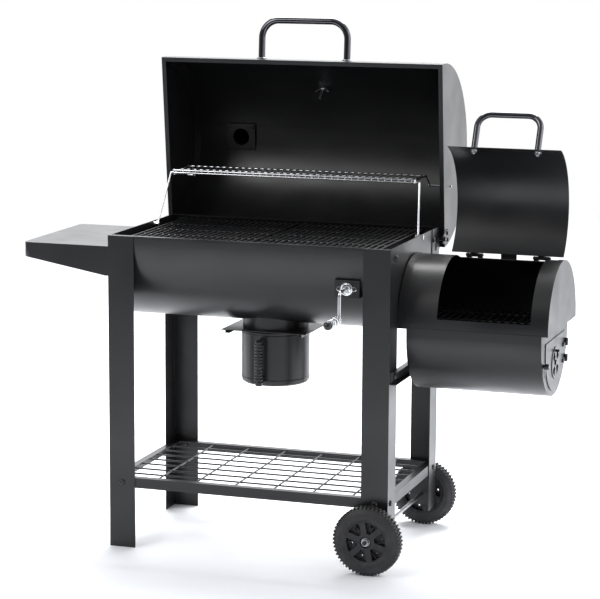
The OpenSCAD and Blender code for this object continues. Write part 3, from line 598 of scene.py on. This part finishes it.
DIAL = LID_TOP @ DIAL_TILT @ Matrix.Translation((0, 0, LID_R))
plate = Solid(DIAL)
plate.lathe([(0, 15.1), (22.4, 15.1), (22.4, 15.3), (0, 15.3)], 72)
piece("dial_plate", plate, "zinc_steel", "main_lid", LID_OPEN)
piece("dial_bezel", dial_bezel(DIAL), "chrome_wire", "main_lid", LID_OPEN)
piece("dial_marks", dial_marks(DIAL), "dark_bolt", "main_lid", LID_OPEN)


def wing_nut(local):
    """Two rounded wings on a small boss, gripping the stem inside the lid."""
    nut = Solid(local)
    nut.lathe([(3.05, -12), (5.6, -12), (6.6, -10.6), (7.4, -5), (7.4, -3), (3.05, -3)], 36,
              ring=True)
    for side in (-1, 1):
        wing = [(4, -3.4), (13, -6.5), (17.5, -12), (18, -16.5), (15.5, -18.5), (12, -17),
                (9, -12), (5, -9.5)]
        nut.block([(side * x, -1.3, z) for x, z in wing], [(side * x, 1.3, z) for x, z in wing])
    return nut


piece("dial_wing_nut", wing_nut(DIAL), "chrome_wire", "main_lid", LID_OPEN, edge=0.4)


def chimney_details():
    """Bolts of the chimney flange, the bead under its mouth and the nut on the cap's pin."""
    fine = Solid()
    for x in (-32, 32):
        for y in (-28, 28):
            fine.local = Matrix.Translation((CHIMNEY_X + x, CHIMNEY_Y + y, CHIMNEY_BOLT_Z))
            fine.lathe([(0, -2), (2, -2, 6), (2, -3, 6), (3.4, -3.2), (4.8, -2.4), (5.4, -1),
                        (5.4, 0), (2.7, 0), (2.7, 7), (0, 7)], 30)
    fine.local = Matrix.Translation((CHIMNEY_X, CHIMNEY_Y, CHIMNEY_TOP))
    fine.lathe([(30, -6), (31.4, -5.6), (32, -4.2), (31.4, -2.8), (30, -2.4)], 72, ring=True)
    fine.local = Matrix.Translation((CHIMNEY_X, CAP_PIN_Y, CHIMNEY_TOP))
    fine.lathe([(2.5, 2.6), (4.6, 2.6), (5, 3.1, 6), (5, 5.4, 6), (4.2, 6), (3.4, 7.2),
                (1.8, 8), (0, 8.2)], 30)
    return fine


piece("chimney_fine", chimney_details(), "dark_bolt", "main_lid", LID_OPEN)

# firebox lid: washers and nuts of its handle

FIRE_X0, FIRE_X1 = ((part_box("firebox_lid_handle")[k].x - origin.x) / MM for k in (0, 1))
FIRE_TOP = Matrix.Translation(((FIRE_X0 + FIRE_X1) / 2, MID_Y, FIREBOX_Z))
FIRE_TILT = Matrix.Rotation(math.radians(78), 4, "X")
FIRE_LID_OUT = 163.6
FIRE_HANDLE_HALF = 80


def fire_handle_nuts():
    """A washer, a nut and a thread end inside the lid under each end of the handle."""
    bore = 3.2
    top = FIRE_TOP @ FIRE_TILT
    nuts = Solid()
    for side in (-1, 1):
        nuts.local = top @ Matrix.Translation((side * FIRE_HANDLE_HALF, 0, FIRE_LID_OUT))
        washer(nuts, -3.6, -2.1, 9.6, bore)
        hex_nut(nuts, -9.2, -3.7, 6.9, bore)
        nuts.lathe([(0, -12), (2.6, -12), (3.2, -11.4), (3.2, -6), (0, -6)], 24)
    return nuts


piece("firebox_handle_nuts", fire_handle_nuts(), "zinc_steel", "fire_lid", FIRE_LID_OPEN)

# crank: wire coil and ball knob on the grip pin, bearing cup and its two screws

CRANK_X = BODY_L - 112
CRANK_Z = BODY_H - 102
GRIP_FRONT = (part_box("crank_grip")[0].y - origin.y) / MM
GRIP_BACK = (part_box("crank_grip")[1].y - origin.y) / MM
GRIP_Z = CRANK_Z - 66
PIN_BORE = 3.15
COIL_R = 9.8
COIL_START = 21
COIL_TURNS = 5
COIL_WIRE_R = 1.7
CUP_Y = 8
EAR = 20


def coil_path(radius, start, end, turns, steps=36):
    """A spring along local Z with its end turns closed up."""
    path = []
    for i in range(turns * steps + 1):
        share = i / (turns * steps)
        eased = share - 0.6 * math.sin(2 * math.pi * share) / (2 * math.pi)
        angle = 2 * math.pi * turns * share
        path.append((radius * math.cos(angle), radius * math.sin(angle),
                     start + (end - start) * eased))
    return path


grip_frame = local_frame((CRANK_X, GRIP_FRONT, GRIP_Z), (-90, 0, 0))
grip_length = GRIP_BACK - GRIP_FRONT
coil = Solid(grip_frame)
coil.tube(coil_path(COIL_R, COIL_START, grip_length - 5, COIL_TURNS), COIL_WIRE_R)
coil.lathe([(PIN_BORE, grip_length - 3), (9.4, grip_length - 3), (9.8, grip_length - 2.4),
            (9.8, grip_length - 0.6), (9.4, grip_length), (PIN_BORE, grip_length)], 36,
           ring=True)
coil.lathe([(PIN_BORE, 15.5), (8.8, 15.5), (9.2, 16.2), (9.2, 18.8), (8.8, 19.4),
            (PIN_BORE, 19.4)], 36, ring=True)
coil = piece("crank_coil", coil, "chrome_wire", "grip")
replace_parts(coil, "crank_grip")
ball = Solid(grip_frame)
ball.lathe([(0, 0), (2.6, 0.3), (5.2, 1.3), (7.6, 3), (9.5, 5.3), (10.7, 8.2), (11, 11),
            (10.6, 13), (9.6, 14.8), (8.6, 15.4), (PIN_BORE, 15.4), (PIN_BORE, 7.9), (0, 7.9)], 48)
piece("crank_ball", ball, "knob_plastic", "grip")


def flange_screws():
    screws = Solid()
    for side in (-EAR, EAR):
        screws.local = local_frame((CRANK_X + side, CUP_Y - 3, CRANK_Z), (-90, 0, 0))
        screws.lathe([(0, -0.9), (1.9, -0.9, 6), (1.9, -2, 6), (3.2, -2.1), (4.4, -1.2), (4.6, 0),
                      (0, 0)], 30)
    return screws


piece("crank_screws", flange_screws(), "dark_bolt", "frame")


def crank_cup():
    """Pressed round bearing cup with a rolled lip and two screw ears."""
    cup = Solid(local_frame((CRANK_X, CUP_Y, CRANK_Z), (90, 0, 0)))
    cup.lathe([(5.2, -4), (5.2, 7.6), (5.8, 8), (7.4, 8), (8, 7.5), (8.2, 4.6), (9.4, 3.2),
               (11, 2.8), (12.6, 4), (14.2, 4.6), (15.8, 4.2), (16.8, 3), (17, 1.6), (17, 0),
               (11, 0), (11, -4)], 72, ring=True)
    for side in (-EAR, EAR):
        cup.local = local_frame((CRANK_X + side, CUP_Y, CRANK_Z), (90, 0, 0))
        cup.lathe([(0, 0), (6, 0), (6, 2), (5.4, 2.8), (4.4, 3), (0, 3)], 36)
        cup.local = local_frame((CRANK_X + side * 0.78, CUP_Y, CRANK_Z), (90, 0, 0))
        cup.bar((-4.5, -5.2, 0), (4.5, 5.2, 2.7))
    return cup


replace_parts(piece("crank_cup", crank_cup(), "chrome_wire", "frame"), "crank_flange")

# ash can: two rolled seams round the body and a screw on each handle bracket

CAN_X = BODY_L / 2
CAN_RIM = (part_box("ash_can")[1].z - origin.z) / MM + 0.8
CAN_HANDLE_X = CAN_X - 6
SEAM_DEPTHS = (-10, -124)
BRACKET_DEPTHS = (-118, -22)
BRACKET_HALF = 4


def can_details():
    fine = Solid(Matrix.Translation((CAN_X, MID_Y, CAN_RIM)))
    for depth in SEAM_DEPTHS:
        fine.lathe([(86.6, depth - 1.6), (87.9, depth - 1), (88.3, depth), (87.9, depth + 1),
                    (86.6, depth + 1.6)], 96, ring=True)
    for depth in BRACKET_DEPTHS:
        top = CAN_RIM + depth + BRACKET_HALF
        fine.local = local_frame((CAN_HANDLE_X - 4.5, MID_Y - 92, top))
        fine.lathe([(0, 1), (1.2, 1, 6), (1.2, 1.6, 6), (2.3, 1.5), (3, 0.7), (3.2, 0), (0, 0)], 24)
    return fine


piece("ash_can_seams", can_details(), "black_coat", "can")


# ---- studio ----

ROOM = 0.13
WALL_BACK = 1.6
WALL_RIGHT = 0.9
WALL_LEFT = 0.25
CEILING = 0.5


def studio_sky():
    """A dim room with a bright wall behind the object, softer ones at its sides and above."""
    world = bpy.data.worlds.new("studio")
    bpy.context.scene.world = world
    world.use_nodes = True
    nodes, links = world.node_tree.nodes, world.node_tree.links
    direction = nodes.new("ShaderNodeTexCoord").outputs["Generated"]
    axes = nodes.new("ShaderNodeSeparateXYZ")
    links.new(direction, axes.inputs["Vector"])

    def wall(axis, start, end, strength):
        ramp = nodes.new("ShaderNodeMapRange")
        ramp.interpolation_type = "SMOOTHSTEP"
        ramp.inputs["From Min"].default_value = start
        ramp.inputs["From Max"].default_value = end
        ramp.inputs["To Max"].default_value = strength
        links.new(axes.outputs[axis], ramp.inputs["Value"])
        return ramp.outputs["Result"]

    total = None
    for part in (wall("Y", -0.1, 0.95, WALL_BACK), wall("X", 0.35, 0.95, WALL_RIGHT),
                 wall("X", -0.3, -0.95, WALL_LEFT), wall("Z", 0.3, 1.0, CEILING)):
        add = nodes.new("ShaderNodeMath")
        add.operation = "ADD"
        links.new(part, add.inputs[0])
        if total is None:
            add.inputs[1].default_value = ROOM
        else:
            links.new(total, add.inputs[1])
        total = add.outputs["Value"]
    lit = nodes["Background"]
    links.new(total, lit.inputs["Strength"])
    seen = nodes.new("ShaderNodeBackground")
    seen.inputs["Color"].default_value = (1, 1, 1, 1)
    lit.inputs["Color"].default_value = (0.97, 0.98, 1, 1)
    mix = nodes.new("ShaderNodeMixShader")
    links.new(nodes.new("ShaderNodeLightPath").outputs["Is Camera Ray"], mix.inputs["Fac"])
    links.new(lit.outputs["Background"], mix.inputs[1])
    links.new(seen.outputs["Background"], mix.inputs[2])
    links.new(mix.outputs["Shader"], nodes["World Output"].inputs["Surface"])


PAPER_SIZE = 40
PAPER_MIDDLE = (0.3, 0.9, 0)
PAPER_FADE = (3.0, 6.0)


def studio_floor():
    """White paper that fades out before the horizon."""
    bpy.ops.mesh.primitive_plane_add(size=PAPER_SIZE, location=(0, 0, 0))
    floor = bpy.context.object
    floor.name = "floor"
    paper = Shader("paper", (0.93, 0.94, 0.96), 0.85)
    paper.color(paper.blend(paper.noise(2, 2), (0.90, 0.915, 0.95), (0.92, 0.93, 0.96)))
    distance = paper.nodes.new("ShaderNodeVectorMath")
    distance.operation = "DISTANCE"
    distance.inputs[1].default_value = PAPER_MIDDLE
    paper.link(paper.coords, distance.inputs[0])
    fade = paper.spread(distance.outputs["Value"], 1.0, 0.0, *PAPER_FADE)
    paper.link(fade, paper.main.inputs["Alpha"])
    floor.data.materials.append(paper.material)


def soft_light(name, spot, target, size, power):
    """A white panel of light that faces the target."""
    data = bpy.data.lights.new(name, "AREA")
    data.shape = "RECTANGLE"
    data.size, data.size_y = size
    data.energy = power
    data.color = (1, 1, 1)
    light = bpy.data.objects.new(name, data)
    bpy.context.scene.collection.objects.link(light)
    light.location = spot
    light.rotation_mode = "QUATERNION"
    light.rotation_quaternion = (Vector(target) - Vector(spot)).to_track_quat("-Z", "Y")


def lights():
    aim = (0, 0, 0.6)
    soft_light("key", (-2.6, -3.2, 3.4), aim, (2.4, 2.4), 85)
    soft_light("right", (3.6, 0.4, 2.3), aim, (2.4, 2.4), 40)
    soft_light("top", (-0.4, 2.1, 3.9), aim, (3.6, 2.4), 350)


CAMERA_SPOT = (2277.1, -5308.1, 1609.0)
CAMERA_YAW = 18.439
CAMERA_PITCH = 9.561
CAMERA_ROLL = 0.309
CAMERA_LENS = 139.58


def camera():
    """The camera matched to the photo's view, placed in the design's millimetres."""
    yaw, pitch, roll = (math.radians(a) for a in (CAMERA_YAW, CAMERA_PITCH, CAMERA_ROLL))
    spot = place(*CAMERA_SPOT)
    forward = Vector((-math.sin(yaw) * math.cos(pitch), math.cos(yaw) * math.cos(pitch),
                      -math.sin(pitch)))
    right = Vector((math.cos(yaw), math.sin(yaw), 0))
    up = right.cross(forward)
    turned_right = right * math.cos(roll) + up * math.sin(roll)
    turned_up = up * math.cos(roll) - right * math.sin(roll)
    axes = Matrix((turned_right, turned_up, -forward)).transposed()
    data = bpy.data.cameras.new("camera")
    data.sensor_width = 36
    data.lens = CAMERA_LENS
    data.clip_end = 100
    view = bpy.data.objects.new("camera", data)
    bpy.context.scene.collection.objects.link(view)
    view.matrix_world = Matrix.Translation(spot) @ axes.to_4x4()
    bpy.context.scene.camera = view


studio_sky()
studio_floor()
lights()
camera()
bpy.context.scene.view_settings.view_transform = "Standard"
